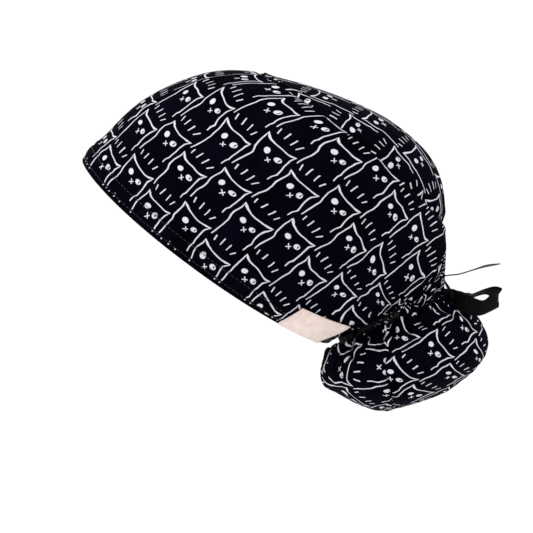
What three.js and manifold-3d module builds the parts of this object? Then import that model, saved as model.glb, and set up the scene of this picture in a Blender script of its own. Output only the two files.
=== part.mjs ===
// A surgical scrub cap with a ponytail pouch: a wrap panel round the forehead and both sides, an oval crown
// panel, a stitched hem casing, a gathered pouch in three gores at the nape, and the black ribbon that draws
// the pouch's neck in and is tied behind it. Millimetres, +Z up, the face towards -Y, the wearer's left at
// +X. The origin is the top of the head, where the crown panel rests on it.

import * as THREE from "three";
import { mergeVertices } from "three/addons/utils/BufferGeometryUtils.js";
import Module from "manifold-3d";

const wasm = await Module();
wasm.setup();

// ---- Driving dimensions, in millimetres and degrees ----

const CLOTH = 1.6; // wall of a panel, the cotton and its seam allowance
const CASING_WALL = 2.2; // the hem is the cloth folded over twice
const SEAM_GAP = 0.35; // clear space between neighbouring pieces

const HEM_TILT = 36.7; // the hem drops this steeply from the forehead to the nape
const HEM = { front: -50.2, back: 134, halfWidth: 71, level: -101, sag: 12, fullness: 2.15 };
const SAG_POWER = 1.3; // the hem dips towards the ears by the sine of the angle to this power
const CASING_HEIGHT = 11;

// How far the casing leans out from upright, by the angle round the hem from the forehead: it tucks under
// behind the ears and at the corners of the nape.
const CASING_LEAN = [
  { angle: 0, lean: 2 },
  { angle: 60, lean: 5 },
  { angle: 100, lean: 16 },
  { angle: 130, lean: 42 },
  { angle: 155, lean: 40 },
  { angle: 180, lean: 12 },
];
const CROWN = {
  front: 3,
  back: 146.5,
  halfWidth: 59,
  level: 0.9,
  pitch: 2.9,
  arch: 4.5,
  pole: 86,
  top: 28,
};
const CROWN_ROUNDNESS = { side: 2.3, skew: 0.395 }; // exponent of the dome, and its change fore and aft

// The neck of the pouch: an oval ring in a plane of its own, tilted from the plane of the hem.
const NECK = {
  tilt: 60.4,
  centreY: 154.9,
  centreZ: -68.35,
  halfLength: 35.2,
  halfWidth: 34,
  squareness: 0.6,
};
const NECK_BAND = { height: 5.5, wall: 1.2, recess: 3.5, clear: 0.9 };

// Where the lower edge of the wrap panel leaves the hem and passes onto the neck of the pouch.
const HEM_SHARE = 0.7; // share of the half circuit that runs along the hem
const LAST_HEM_ANGLE = 160;
const FIRST_NECK_ANGLE = 25;
const NECK_PASSAGE = 0.12; // share of the way round the neck taken to reach it
const CROWN_MATCH = 1.25; // exponent that matches the wrap's lower edge to the crown seam

// How far the wrap panel stands out beyond a straight line from its lower edge to the crown seam.
const WRAP_RIBS = [
  { share: 0.0, bulge: 15.8, fullness: 2.8, skew: 1.5 }, // middle of the forehead
  { share: 0.2, bulge: 14.5, fullness: 2.5, skew: 1.25 }, // temple
  { share: 0.41, bulge: 13, fullness: 2.3, skew: 1.1 }, // above the ear
  { share: 0.55, bulge: 14.5, fullness: 2.2, skew: 1 },
  { share: 0.7, bulge: 20, fullness: 2.2, skew: 1 }, // corner of the nape
  { share: 0.85, bulge: 11, fullness: 2.2, skew: 1 },
  { share: 1.0, bulge: 1.5, fullness: 2, skew: 1 }, // middle of the back
];
const WRAP_AXIS_Y = 60; // the panel bulges away from this upright line
const FOOT_TURN = 0.04; // share over which the panel's foot turns from level to its own slope
const RIB_LENGTH = 100; // from the casing up to the crown seam

// Folds that the ribbon draws into the cloth, on the wrap panel and on the pouch. The pouch's die away
// again towards its pole.
const WRAP_FOLDS = { count: 6, depth: 1.5, reach: 0.22 };
const POUCH_FOLDS = { count: 14, depth: 1.8, reach: 0.3, fade: 4 };

// The pouch, a row for each section from its lowest point up to its neck. Each guide point is given along,
// from the nape to the back of the head, and down, out of the neck; half is the section's half width.
const POUCH_ROWS = [
  { front: [-23, 49.5], back: [-23, 49.5], side: [-23, 49.5], half: 0 },
  { front: [-29, 46], back: [8, 53], side: [-20, 48.5], half: 18 },
  { front: [-35, 41], back: [28, 50], side: [-17, 45.5], half: 32 },
  { front: [-41, 34.5], back: [42, 44], side: [-13, 40], half: 43 },
  { front: [-46.5, 27], back: [48.7, 37], side: [-9, 33], half: 49 },
  { front: [-51, 20.5], back: [50.4, 28.5], side: [-6, 25], half: 50.5 },
  { front: [-50.3, 13.5], back: [47.5, 19], side: [-4, 17], half: 48 },
  { front: [-46.5, 7.5], back: [41, 11], side: [-3, 10], half: 42 },
  { front: [-40, 3.8], back: [34.8, 3.8], side: [-1, 3.8], half: 34 },
].map(({ front, back, side, half }) => ({
  frontAlong: front[0],
  frontDown: front[1],
  backAlong: back[0],
  backDown: back[1],
  sideAlong: side[0],
  sideDown: side[1],
  half,
}));
const POUCH_REACH = 70; // no part of the pouch is further than this from its neck
const SQUARED_FROM = 0.8; // share of the way up the pouch where its front begins to square off

// The side seams of the pouch, from above its neck to below its pole.
const POUCH_SEAM = [
  { along: 0.5, down: -2 },
  { along: -2, down: 7 },
  { along: -7.3, down: 13.8 },
  { along: -12.9, down: 20.5 },
  { along: -15.9, down: 29 },
  { along: -16.9, down: 37.1 },
  { along: -17.6, down: 44.6 },
  { along: -18.3, down: 60 },
];

const LABEL = { startAngle: 133, endAngle: 155.5, height: 24.5, wall: 1, lift: 0.9, spread: 4 };

// The ribbon, an upright width of tape carried along a path. A row gives the middle of the tape and the
// direction of its width.
const RIBBON = { width: 11, wall: 1.0 };
const LOOK_AHEAD = 0.05; // share of a row within which the ribbon's direction is taken
const KNOT = { x: 0, y: 121.6, z: -133.6, halfX: 5, halfY: 3.4, halfZ: 4.8 };
const LOOP_LEFT = [
  { x: 6.3, y: 123.4, z: -134.2, wx: 0, wy: 0.3, wz: 0.95 },
  { x: 10.5, y: 129.2, z: -137.6, wx: 0, wy: 0.3, wz: 0.95 },
  { x: 13.5, y: 136, z: -139.6, wx: 0.1, wy: 0.2, wz: 0.98 },
  { x: 14, y: 143.2, z: -139, wx: 0.3, wy: 0.2, wz: 0.92 },
  { x: 11.5, y: 148.4, z: -134.8, wx: 0.1, wy: 0.16, wz: 0.98 },
  { x: 8, y: 145.4, z: -129.9, wx: -0.8, wy: 0.15, wz: 0.5 },
  { x: 6.4, y: 138, z: -131.2, wx: -0.96, wy: 0.1, wz: 0.22 },
  { x: 6, y: 131.4, z: -133.4, wx: -0.96, wy: 0.05, wz: 0.24 },
  { x: 5.8, y: 127.4, z: -133.6, wx: -0.9, wy: 0.05, wz: 0.4 },
];
const LOOP_RIGHT = [
  { x: -6.3, y: 123.6, z: -133.8, wx: 0, wy: 0.3, wz: 0.95 },
  { x: -14, y: 127, z: -135.6, wx: 0, wy: 0.3, wz: 0.95 },
  { x: -22, y: 128.4, z: -137.4, wx: -0.1, wy: 0.3, wz: 0.95 },
  { x: -30, y: 129.6, z: -138.6, wx: -0.1, wy: 0.2, wz: 0.97 },
  { x: -34.5, y: 132.2, z: -138.6, wx: 0, wy: 0.2, wz: 0.97 },
  { x: -30, y: 134.4, z: -138.2, wx: 0.1, wy: 0.2, wz: 0.96 },
  { x: -22, y: 133.2, z: -137.4, wx: 0.1, wy: 0.2, wz: 0.96 },
  { x: -14, y: 131.4, z: -136.4, wx: 0.1, wy: 0.2, wz: 0.96 },
  { x: -7.5, y: 128.2, z: -135.4, wx: 0.1, wy: 0.2, wz: 0.96 },
];
const TAIL_LEFT = [
  { x: -7.4, y: 120.8, z: -126.6, wx: 0.95, wy: 0, wz: 0.1 },
  { x: -8, y: 119.6, z: -123, wx: 0.97, wy: 0, wz: 0.1 },
  { x: -7.6, y: 121.2, z: -120.4, wx: 0.99, wy: 0, wz: 0.05 },
  { x: -6, y: 128, z: -119.2, wx: 0.99, wy: 0, wz: 0.05 },
  { x: -4, y: 135, z: -117, wx: 0.99, wy: 0, wz: 0.06 },
  { x: -2, y: 142.4, z: -114.8, wx: 0.98, wy: 0, wz: 0.12 },
  { x: 0, y: 149.4, z: -113.6, wx: 0.99, wy: 0, wz: 0.05 },
];
const TAIL_RIGHT = [
  { x: -8.5, y: 130.4, z: -142.8, wx: 0.9, wy: 0.3, wz: 0.2 },
  { x: -13, y: 134.2, z: -145.8, wx: 0.9, wy: 0.4, wz: 0.1 },
  { x: -20, y: 136.8, z: -150.4, wx: 0.85, wy: 0.4, wz: 0.1 },
  { x: -28, y: 137, z: -155.8, wx: 0.8, wy: 0.4, wz: 0.1 },
];

const COLOUR = { cotton: 0x0b0b12, ribbon: 0x060607, label: 0xd2c4be };

// ---- Small helpers ----

const SAME_POINT = 1e-4; // points closer than this are one
const NEAR_POLE = 0.98; // where the normals about a pole are taken

const rad = THREE.MathUtils.degToRad;
const point = (x, y, z) => new THREE.Vector3(x, y, z);
const signedPower = (value, power) => Math.sign(value) * Math.abs(value) ** power;

// A column of a table at a place between its rows, on a smooth curve through them.
function columnAt(rows, column, place) {
  const last = rows.length - 1;
  const at = THREE.MathUtils.clamp(place, 0, last);
  const row = Math.min(Math.floor(at), last - 1);
  const value = (index) => rows[THREE.MathUtils.clamp(index, 0, last)][column];
  const t = at - row;
  const slopeIn = (value(row + 1) - value(row - 1)) / 2;
  const slopeOut = (value(row + 2) - value(row)) / 2;
  const rise = value(row + 1) - value(row);
  const bend = 3 * rise - 2 * slopeIn - slopeOut;
  return value(row) + slopeIn * t + bend * t ** 2 + (rise - slopeIn - bend) * t ** 3;
}

// The place between the rows of a table where one of its columns, which only rises, has a given value.
function placeOf(rows, column, value) {
  const next = rows.findIndex((row, index) => index > 0 && row[column] >= value);
  const before = rows[next - 1][column];
  return next - 1 + (value - before) / (rows[next][column] - before);
}

// A closed body built from corners that are shared wherever two points coincide.
class Body {
  constructor() {
    this.corners = new Map();
    this.positions = [];
    this.triangles = [];
  }

  corner(p) {
    const key = [p.x, p.y, p.z].map((value) => Math.round(value / SAME_POINT)).join(",");
    if (!this.corners.has(key)) {
      this.corners.set(key, this.positions.length / 3);
      this.positions.push(p.x, p.y, p.z);
    }
    return this.corners.get(key);
  }

  // Two triangles over four corners that turn anticlockwise seen from outside; a collapsed one is left out.
  quad(a, b, c, d) {
    for (const [i, j, k] of [[a, b, c], [a, c, d]]) {
      if (i !== j && j !== k && k !== i) this.triangles.push(i, j, k);
    }
  }

  geometry() {
    const geometry = new THREE.BufferGeometry();
    geometry.setAttribute("position", new THREE.Float32BufferAttribute(this.positions, 3));
    geometry.setIndex(this.triangles);
    geometry.computeVertexNormals();
    return geometry;
  }
}

function solidOf(geometry) {
  geometry.deleteAttribute("normal");
  geometry.deleteAttribute("uv");
  const { attributes, index } = mergeVertices(geometry, SAME_POINT);
  const vertProperties = attributes.position.array;
  const triVerts = Uint32Array.from(index.array);
  return new wasm.Manifold(new wasm.Mesh({ numProp: 3, vertProperties, triVerts }));
}

function geometryOf(solid) {
  const { vertProperties, triVerts } = solid.getMesh();
  const geometry = new THREE.BufferGeometry();
  geometry.setAttribute("position", new THREE.Float32BufferAttribute(vertProperties, 3));
  geometry.setIndex(Array.from(triVerts));
  geometry.computeVertexNormals();
  return geometry;
}

function middleOf(solid) {
  const { min, max } = solid.boundingBox();
  return min.map((low, axis) => (low + max[axis]) / 2);
}

// The outward normal of a surface at u, v: the direction along u crossed with the direction up v.
function normalAt(surface, u, v) {
  const step = 0.002;
  const along = surface(u + step, v).sub(surface(u - step, v));
  const up = surface(u, Math.min(v + step, 1)).sub(surface(u, Math.max(v - step, 0)));
  return along.cross(up).normalize();
}

// The same at a pole, where every u meets at v = 1: the mean of the normals just below it.
function poleNormal(surface, columns) {
  const mean = point(0, 0, 0);
  for (let i = 0; i < columns; i += 1) mean.add(normalAt(surface, i / columns, NEAR_POLE));
  return mean.normalize();
}

// A wall of cloth: the surface outside, the same surface a wall's thickness further in, and the edges
// between them. u runs along the piece and v up it. A ring closes on itself along u, a pole closes it at
// v = 1, and a mitre gives the way out through the wall's edge at v = 0 or v = 1 instead of the normal.
function clothWall(surface, { columns, rows, wall = CLOTH, ring = true, pole = false, mitreLow, mitreHigh }) {
  const body = new Body();
  const tip = pole ? poleNormal(surface, columns) : null;
  const wayOut = (u, j) => {
    if (j === rows && pole) return tip;
    if (j === rows && mitreHigh) return mitreHigh(u);
    if (j === 0 && mitreLow) return mitreLow(u);
    return normalAt(surface, u, j / rows);
  };
  const layer = (depth) =>
    Array.from({ length: columns + 1 }, (_, i) =>
      Array.from({ length: rows + 1 }, (_, j) => {
        const u = (ring ? i % columns : i) / columns;
        return body.corner(surface(u, j / rows).addScaledVector(wayOut(u, j), -depth));
      }),
    );
  const outside = layer(0);
  const inside = layer(wall);
  for (let i = 0; i < columns; i += 1) {
    for (let j = 0; j < rows; j += 1) {
      body.quad(outside[i][j], outside[i + 1][j], outside[i + 1][j + 1], outside[i][j + 1]);
      body.quad(inside[i][j], inside[i][j + 1], inside[i + 1][j + 1], inside[i + 1][j]);
    }
    body.quad(outside[i][0], inside[i][0], inside[i + 1][0], outside[i + 1][0]);
    body.quad(outside[i][rows], outside[i + 1][rows], inside[i + 1][rows], inside[i][rows]);
  }
  for (let j = 0; j < rows && !ring; j += 1) {
    body.quad(outside[0][j], outside[0][j + 1], inside[0][j + 1], inside[0][j]);
    body.quad(outside[columns][j], inside[columns][j], inside[columns][j + 1], outside[columns][j + 1]);
  }
  return body.geometry();
}

// ---- The cap, in a frame whose Y runs along the hem from the forehead to the nape ----

// Direction straight out of the cap at an angle round the hem; 0 is the forehead and 90 the left side.
function hemOutward(angle) {
  const halfLength = (HEM.back - HEM.front) / 2;
  return point(Math.sin(rad(angle)) / HEM.halfWidth, -Math.cos(rad(angle)) / halfLength, 0).normalize();
}

// A point on the casing's outer face, a height above the hem's lower edge.
function casingPoint(angle, height) {
  const halfLength = (HEM.back - HEM.front) / 2;
  const middle = (HEM.back + HEM.front) / 2;
  const power = 2 / HEM.fullness;
  const edge = point(
    HEM.halfWidth * signedPower(Math.sin(rad(angle)), power),
    middle - halfLength * signedPower(Math.cos(rad(angle)), power),
    HEM.level - HEM.sag * Math.abs(Math.sin(rad(angle))) ** SAG_POWER,
  );
  const fromFront = Math.abs(angle - 360 * Math.round(angle / 360));
  const lean = rad(columnAt(CASING_LEAN, "lean", placeOf(CASING_LEAN, "angle", Math.max(fromFront, 1e-6))));
  edge.addScaledVector(hemOutward(angle), height * Math.sin(lean));
  edge.z += height * Math.cos(lean);
  return edge;
}

// A point on the neck's oval, in the cap's frame; inset draws it in and down moves it out of the cap.
function neckPoint(angle, down, inset = 0) {
  const across = signedPower(Math.sin(rad(angle)), angle < 90 || angle > 270 ? NECK.squareness : 1);
  const along = -(NECK.halfLength - inset) * Math.cos(rad(angle));
  return point(
    (NECK.halfWidth - inset) * across,
    NECK.centreY + along * Math.cos(rad(NECK.tilt)) + down * Math.sin(rad(NECK.tilt)),
    NECK.centreZ + along * Math.sin(rad(NECK.tilt)) - down * Math.cos(rad(NECK.tilt)),
  );
}

// The crown seam, an oval in a gently arched plane.
function crownSeam(angle) {
  const halfLength = (CROWN.back - CROWN.front) / 2;
  return point(
    CROWN.halfWidth * Math.sin(rad(angle)),
    (CROWN.back + CROWN.front) / 2 - halfLength * Math.cos(rad(angle)),
    CROWN.level + CROWN.pitch * Math.cos(rad(angle)) + CROWN.arch * Math.sin(rad(angle)) ** 2,
  );
}

// Where on the crown seam a rib of the wrap panel ends.
const crownAngle = (share) => 180 * (1 - (1 - share) ** CROWN_MATCH);

// The lower edge of the wrap panel: along the top of the hem casing, then round the neck of the pouch.
function wrapLowerEdge(share) {
  const clear = CASING_HEIGHT + SEAM_GAP;
  if (share <= HEM_SHARE) return casingPoint((share / HEM_SHARE) * LAST_HEM_ANGLE, clear);
  const beyond = (share - HEM_SHARE) / (1 - HEM_SHARE);
  const turn = THREE.MathUtils.smoothstep(beyond, 0, NECK_PASSAGE);
  const neckAngle = FIRST_NECK_ANGLE + beyond * (180 - FIRST_NECK_ANGLE);
  const neck = neckPoint(neckAngle, -NECK_BAND.height / 2 - NECK_BAND.clear);
  return casingPoint(LAST_HEM_ANGLE, clear).lerp(neck, turn);
}

// Folds die away upwards from the neck: a row of dents, deepest at the ribbon.
function wrapFold(share, v) {
  const beyond = (share - HEM_SHARE) / (1 - HEM_SHARE);
  const start = THREE.MathUtils.smoothstep(beyond, -NECK_PASSAGE, NECK_PASSAGE);
  const wave = (1 - Math.cos(2 * Math.PI * WRAP_FOLDS.count * beyond)) / 2;
  return -WRAP_FOLDS.depth * start * wave * Math.exp(-v / WRAP_FOLDS.reach);
}

// The wrap panel: a straight rib from the lower edge to the crown seam, pushed out by a bulge whose profile
// is 1 - |2s - 1| to the power of the fullness, s being v to the power of the skew. u is 0 at the forehead,
// 0.25 at the left side and 0.5 behind.
function wrapPanel(u, v) {
  const turn = u - Math.floor(u);
  const side = turn <= 0.5 ? 1 : -1;
  const share = 1 - Math.abs(1 - 2 * turn);
  const low = wrapLowerEdge(share);
  const high = crownSeam(crownAngle(share));
  const place = placeOf(WRAP_RIBS, "share", Math.max(share, 1e-6));
  const rise = v ** columnAt(WRAP_RIBS, "skew", place);
  const profile = 1 - Math.abs(2 * rise - 1) ** columnAt(WRAP_RIBS, "fullness", place);
  const outward = low.clone().add(high).divideScalar(2).sub(point(0, WRAP_AXIS_Y, 0)).setZ(0).normalize();
  const place3d = low.lerp(high, v);
  place3d.addScaledVector(outward, columnAt(WRAP_RIBS, "bulge", place) * profile + wrapFold(share, v));
  return place3d.setX(place3d.x * side);
}

// The crown panel: from the seam to its highest point, the height above the seam being 1 - r to a power
// that is low towards the forehead and high towards the back.
function crownPanel(u, v) {
  const angle = 360 * u;
  const radius = (1 - v) * (1 - SEAM_GAP / CROWN.halfWidth);
  const seam = crownSeam(angle);
  const roundness = CROWN_ROUNDNESS.side * Math.exp(-CROWN_ROUNDNESS.skew * Math.cos(rad(angle)));
  return point(
    radius * seam.x,
    CROWN.pole + radius * (seam.y - CROWN.pole),
    CROWN.top - (CROWN.top - seam.z) * radius ** roundness,
  );
}

const hemCasing = (u, v) => casingPoint(360 * u, CASING_HEIGHT * v);

// The label: over the casing up to its top edge, then over the wrap panel, lifted clear of both.
function labelFace(u, v) {
  const angle = LABEL.startAngle + u * (LABEL.endAngle - LABEL.startAngle);
  const height = v * LABEL.height;
  const share = (angle / LAST_HEM_ANGLE) * HEM_SHARE;
  const rise = (height - CASING_HEIGHT) / RIB_LENGTH;
  const face = rise < 0 ? casingPoint(angle, height) : wrapPanel(share / 2, rise);
  const clear = LABEL.lift + LABEL.wall + LABEL.spread * Math.max(rise, 0);
  return face.addScaledVector(hemOutward(angle), clear);
}

// The ribbon round the neck, drawn in below the cloth on either side of it.
const neckBand = (u, v) => neckPoint(360 * u, NECK_BAND.height * (0.5 - v), NECK_BAND.recess);

// ---- The pouch, in the frame of its neck: Y from the nape to the back of the head, Z up into the cap ----

// A section through front, side and back: the side point, moved towards the mean of front and back by the
// square of the cosine, and from one to the other by the cosine itself. u goes round the other way from the
// cap's, because v runs down from the neck to the pole.
function pouchSurface(u, v) {
  const angle = rad(-360 * u);
  const place = (1 - v) * (POUCH_ROWS.length - 1);
  const row = (column) => columnAt(POUCH_ROWS, column, place);
  const cos = Math.cos(angle);
  const sin = Math.sin(angle);
  const blend = (front, back, side) =>
    side + ((front + back) / 2 - side) * cos ** 2 + ((front - back) / 2) * cos;
  const wave = (1 - Math.cos(POUCH_FOLDS.count * angle)) / 2;
  const fading = Math.min(1, (1 - v) * POUCH_FOLDS.fade);
  const fold = POUCH_FOLDS.depth * wave * Math.exp(-v / POUCH_FOLDS.reach) * fading;
  const squaring = 1 - (1 - NECK.squareness) * THREE.MathUtils.smoothstep(1 - v, SQUARED_FROM, 1);
  return point(
    row("half") * signedPower(sin, cos > 0 ? squaring : 1) - fold * sin,
    blend(row("frontAlong"), row("backAlong"), row("sideAlong")) + fold * cos,
    -blend(row("frontDown"), row("backDown"), row("sideDown")),
  );
}

// A thin curtain through the whole pouch along the side seams, as seen from the side.
function seamCurtain() {
  const edge = (offset) => POUCH_SEAM.map(({ along, down }) => new THREE.Vector2(along + offset, -down));
  const outline = new THREE.Shape([...edge(-SEAM_GAP / 2), ...edge(SEAM_GAP / 2).reverse()]);
  const width = 2 * POUCH_REACH;
  const curtain = new THREE.ExtrudeGeometry(outline, { depth: width, bevelEnabled: false, steps: 1 });
  curtain.applyMatrix4(new THREE.Matrix4().makeBasis(point(0, 1, 0), point(0, 0, 1), point(1, 0, 0)));
  return curtain.translate(-POUCH_REACH, 0, 0);
}

// The thin upright slab that parts the two back gores along the middle.
const middleSlab = () => new THREE.BoxGeometry(SEAM_GAP, 2 * POUCH_REACH, 2 * POUCH_REACH);

// The three gores: the whole pouch cut along its seams, sorted by where each piece lies.
function pouchGores() {
  const whole = solidOf(clothWall(pouchSurface, { columns: 48, rows: 10, pole: true }));
  const [front, back] = whole
    .subtract(solidOf(seamCurtain()))
    .decompose()
    .sort((a, b) => middleOf(a)[1] - middleOf(b)[1]);
  const [right, left] = back
    .subtract(solidOf(middleSlab()))
    .decompose()
    .sort((a, b) => middleOf(a)[0] - middleOf(b)[0]);
  return { pouch_front: front, pouch_back_left: left, pouch_back_right: right };
}

// ---- The ribbon ----

// A length of tape carried along its rows: a flat section, turned so that its width follows the rows.
function tape(rows, steps) {
  const body = new Body();
  const span = rows.length - 1;
  const at = (place, columns) => point(...columns.map((column) => columnAt(rows, column, place)));
  const section = (place) => {
    const middle = at(place, ["x", "y", "z"]);
    const ahead = at(Math.min(place + LOOK_AHEAD, span), ["x", "y", "z"]);
    const along = ahead.sub(at(Math.max(place - LOOK_AHEAD, 0), ["x", "y", "z"])).normalize();
    const width = at(place, ["wx", "wy", "wz"]);
    width.addScaledVector(along, -width.dot(along)).normalize();
    const face = along.clone().cross(width);
    const corner = (across, through) => {
      const edge = middle.clone().addScaledVector(width, (across * RIBBON.width) / 2);
      return body.corner(edge.addScaledVector(face, (through * RIBBON.wall) / 2));
    };
    return [corner(-1, -1), corner(1, -1), corner(1, 1), corner(-1, 1)];
  };
  const sections = Array.from({ length: steps + 1 }, (_, i) => section((i / steps) * span));
  for (let i = 0; i < steps; i += 1) {
    for (let side = 0; side < 4; side += 1) {
      const next = (side + 1) % 4;
      body.quad(sections[i][side], sections[i][next], sections[i + 1][next], sections[i + 1][side]);
    }
  }
  const [first, last] = [sections[0], sections[steps]];
  body.quad(first[3], first[2], first[1], first[0]);
  body.quad(last[0], last[1], last[2], last[3]);
  return body.geometry();
}

function knot() {
  const geometry = new THREE.SphereGeometry(1, 16, 10);
  geometry.scale(KNOT.halfX, KNOT.halfY, KNOT.halfZ);
  geometry.translate(KNOT.x, KNOT.y, KNOT.z);
  return geometry;
}

// ---- Assembly ----

const cotton = () => new THREE.MeshStandardMaterial({ color: COLOUR.cotton, roughness: 0.9, metalness: 0 });
const satin = () => new THREE.MeshStandardMaterial({ color: COLOUR.ribbon, roughness: 0.6, metalness: 0 });
const woven = () => new THREE.MeshStandardMaterial({ color: COLOUR.label, roughness: 0.85, metalness: 0 });

function piece(name, geometry, material) {
  const mesh = new THREE.Mesh(geometry, material);
  mesh.name = name;
  return mesh;
}

// The way out of the cap at the crown seam, shared by the panels on either side of it.
function seamWayOut(angle) {
  return crownSeam(angle).sub(point(0, CROWN.pole, CROWN.top - CROWN.halfWidth)).normalize();
}

// The way out at the wrap panel's lower edge: level along the hem, turning to the panel's own normal behind.
function wrapFootWayOut(u) {
  const share = 1 - Math.abs(1 - 2 * u);
  const level = hemOutward(Math.min(share / HEM_SHARE, 1) * LAST_HEM_ANGLE * (u > 0.5 ? -1 : 1));
  const turn = THREE.MathUtils.smoothstep(share, HEM_SHARE, HEM_SHARE + FOOT_TURN);
  return level.lerp(normalAt(wrapPanel, u, 0), turn).normalize();
}

// The panels, the casing and the label, laid out along the hem and then tilted as the cap is worn.
function capBody() {
  const group = new THREE.Group();
  group.rotation.x = -rad(HEM_TILT);
  const wrapSeam = (u) => seamWayOut(crownAngle(1 - Math.abs(1 - 2 * u)) * (u > 0.5 ? -1 : 1));
  const wrap = clothWall(wrapPanel, { columns: 88, rows: 10, mitreLow: wrapFootWayOut, mitreHigh: wrapSeam });
  const crown = clothWall(crownPanel, {
    columns: 44,
    rows: 6,
    pole: true,
    mitreLow: (u) => seamWayOut(360 * u),
  });
  const casing = clothWall(hemCasing, {
    columns: 72,
    rows: 1,
    wall: CASING_WALL,
    mitreHigh: (u) => hemOutward(360 * u),
  });
  const label = clothWall(labelFace, { columns: 10, rows: 6, wall: LABEL.wall, ring: false });
  const band = clothWall(neckBand, { columns: 40, rows: 1, wall: NECK_BAND.wall });
  group.add(piece("wrap_panel", wrap, cotton()));
  group.add(piece("crown_panel", crown, cotton()));
  group.add(piece("hem_casing", casing, cotton()));
  group.add(piece("woven_label", label, woven()));
  group.add(piece("ribbon_band", band, satin()));
  group.add(pouch());
  return group;
}

function pouch() {
  const group = new THREE.Group();
  group.position.set(0, NECK.centreY, NECK.centreZ);
  group.rotation.x = rad(NECK.tilt);
  for (const [name, gore] of Object.entries(pouchGores())) group.add(piece(name, geometryOf(gore), cotton()));
  return group;
}

function ribbonTie() {
  const group = new THREE.Group();
  group.add(piece("ribbon_knot", knot(), satin()));
  group.add(piece("ribbon_loop_left", tape(LOOP_LEFT, 24), satin()));
  group.add(piece("ribbon_loop_right", tape(LOOP_RIGHT, 24), satin()));
  group.add(piece("ribbon_tail_left", tape(TAIL_LEFT, 12), satin()));
  group.add(piece("ribbon_tail_right", tape(TAIL_RIGHT, 12), satin()));
  return group;
}

const scrubCap = new THREE.Group();
scrubCap.add(capBody());
scrubCap.add(ribbonTie());

export default scrubCap;
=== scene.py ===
"""Looks of a cotton scrub cap: a printed wrap panel and crown, a stitched hem casing, a gathered ponytail pouch
in three gores, the black ribbon tied round its neck, and a small bare label.

Shapes are worked out in millimetres in the cap's own frame, whose Y runs along the hem from the forehead to
the nape and whose Z stands square to the hem, and are turned into the worn frame at the end.
"""

import math

import bpy
import numpy as np
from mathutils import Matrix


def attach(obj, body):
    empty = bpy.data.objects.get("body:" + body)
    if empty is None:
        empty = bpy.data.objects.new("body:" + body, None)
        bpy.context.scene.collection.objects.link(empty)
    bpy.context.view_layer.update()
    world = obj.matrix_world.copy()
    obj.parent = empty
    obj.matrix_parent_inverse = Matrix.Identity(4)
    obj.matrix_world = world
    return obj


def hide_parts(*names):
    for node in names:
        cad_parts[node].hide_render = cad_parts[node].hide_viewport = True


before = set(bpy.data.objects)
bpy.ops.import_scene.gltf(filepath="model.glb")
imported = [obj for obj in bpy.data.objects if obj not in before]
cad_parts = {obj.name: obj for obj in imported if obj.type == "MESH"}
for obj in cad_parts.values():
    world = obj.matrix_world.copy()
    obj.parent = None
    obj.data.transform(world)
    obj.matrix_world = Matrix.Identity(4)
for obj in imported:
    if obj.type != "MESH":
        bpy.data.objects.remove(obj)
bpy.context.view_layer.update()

MM = 0.001

# ---------------------------------------------------------------- sizes of the cut

HEM_TILT = math.radians(36.7)
HEM_FRONT, HEM_BACK, HEM_HALF_WIDTH = -50.2, 134.0, 71.0
HEM_LEVEL, HEM_SAG, SAG_POWER, HEM_FULLNESS = -101.0, 12.0, 1.3, 2.15
CASING_HEIGHT, CASING_THICKNESS = 11.0, 2.0
SEAM_GAP = 0.35
# angle round the hem, lean of the casing in degrees
CASING_LEAN = np.array([(0, 2), (60, 5), (100, 16), (130, 42), (155, 40), (180, 12)], float)

CROWN_FRONT, CROWN_BACK, CROWN_HALF_WIDTH = 3.0, 146.5, 59.0
CROWN_LEVEL, CROWN_PITCH, CROWN_ARCH = 0.9, 2.9, 4.5
CROWN_POLE, CROWN_TOP, CROWN_ROUNDNESS, CROWN_SKEW = 86.0, 28.0, 2.3, 0.395

NECK_TILT = math.radians(60.4)
NECK_Y, NECK_Z, NECK_HALF_LENGTH, NECK_HALF_WIDTH = 154.9, -68.35, 35.2, 34.0
NECK_SQUARENESS = 0.6

HEM_SHARE, LAST_HEM_ANGLE, FIRST_NECK_ANGLE, CROWN_MATCH = 0.7, 160.0, 25.0, 1.25
WRAP_AXIS_Y = 60.0
WRAP_EDGE_AT_NECK = 3.65
# share of the half circuit, bulge, fullness and skew of the wrap panel's rib
WRAP_RIBS = np.array(
    [
        (0.0, 15.8, 2.8, 1.5),
        (0.2, 14.5, 2.5, 1.25),
        (0.41, 13.0, 2.3, 1.1),
        (0.55, 14.5, 2.2, 1.0),
        (0.7, 20.0, 2.2, 1.0),
        (0.85, 11.0, 2.2, 1.0),
        (1.0, 1.5, 2.0, 1.0),
    ]
)
BULGE, FULLNESS, SKEW = 1, 2, 3

# the pouch by sections from its pole to its neck: place, then how far along and down the front, back and side
# guide points lie, then the half width
POUCH_ROWS = np.array(
    [
        (0, -23, 49.5, -23, 49.5, -23, 49.5, 0),
        (1, -29, 46, 8, 53, -20, 48.5, 18),
        (2, -35, 41, 28, 50, -17, 45.5, 32),
        (3, -41, 34.5, 42, 44, -13, 40, 43),
        (4, -46.5, 27, 48.7, 37, -9, 33, 49),
        (5, -51, 20.5, 50.4, 28.5, -6, 25, 50.5),
        (6, -50.3, 13.5, 47.5, 19, -4, 17, 48),
        (7, -46.5, 7.5, 41, 11, -3, 10, 42),
        (8, -40, 3.8, 34.8, 3.8, -1, 3.8, 34),
    ],
    float,
)
FRONT_ALONG, FRONT_DOWN, BACK_ALONG, BACK_DOWN, SIDE_ALONG, SIDE_DOWN, HALF = range(1, 8)
# side seam of the pouch: down, along
POUCH_SEAM = np.array(
    [(-2, 0.5), (7, -2), (13.8, -7.3), (20.5, -12.9), (29, -15.9), (37.1, -16.9), (44.6, -17.6), (60, -18.3)]
)

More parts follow.
